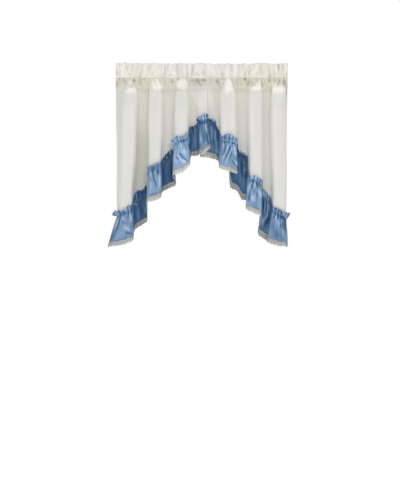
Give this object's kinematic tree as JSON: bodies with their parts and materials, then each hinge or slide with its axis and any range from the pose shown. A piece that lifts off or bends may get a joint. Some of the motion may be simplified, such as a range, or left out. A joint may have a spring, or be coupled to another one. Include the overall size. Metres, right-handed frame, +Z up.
{
  "type": "swag and tail drape",
  "caption": "Pair of swag panels for a curtain rod, with a frill heading, a rod pocket, a stepped arched lower edge, a gathered ruffle and a lace edging.",
  "frame": {"origin": "middle of the way through the rod pockets, on the axis of the curtain rod, halfway along the pair", "axes": "+X along the curtain rod, to the right as seen from the room; +Y towards the window; +Z up"},
  "size_m": [0.9567, 0.0749, 0.9651],
  "materials": {
    "panel_cotton": "ivory plain-weave cotton blend, semi-matt",
    "ruffle_cotton": "blue polished cotton with a soft sheen",
    "edging_lace": "off-white cotton lace"
  },
  "bodies": {
    "root": {"panel_left": "panel_cotton", "panel_right": "panel_cotton", "ruffle_left": "ruffle_cotton", "ruffle_right": "ruffle_cotton", "lace_left": "edging_lace", "lace_right": "edging_lace"}
  },
  "joints": []
}
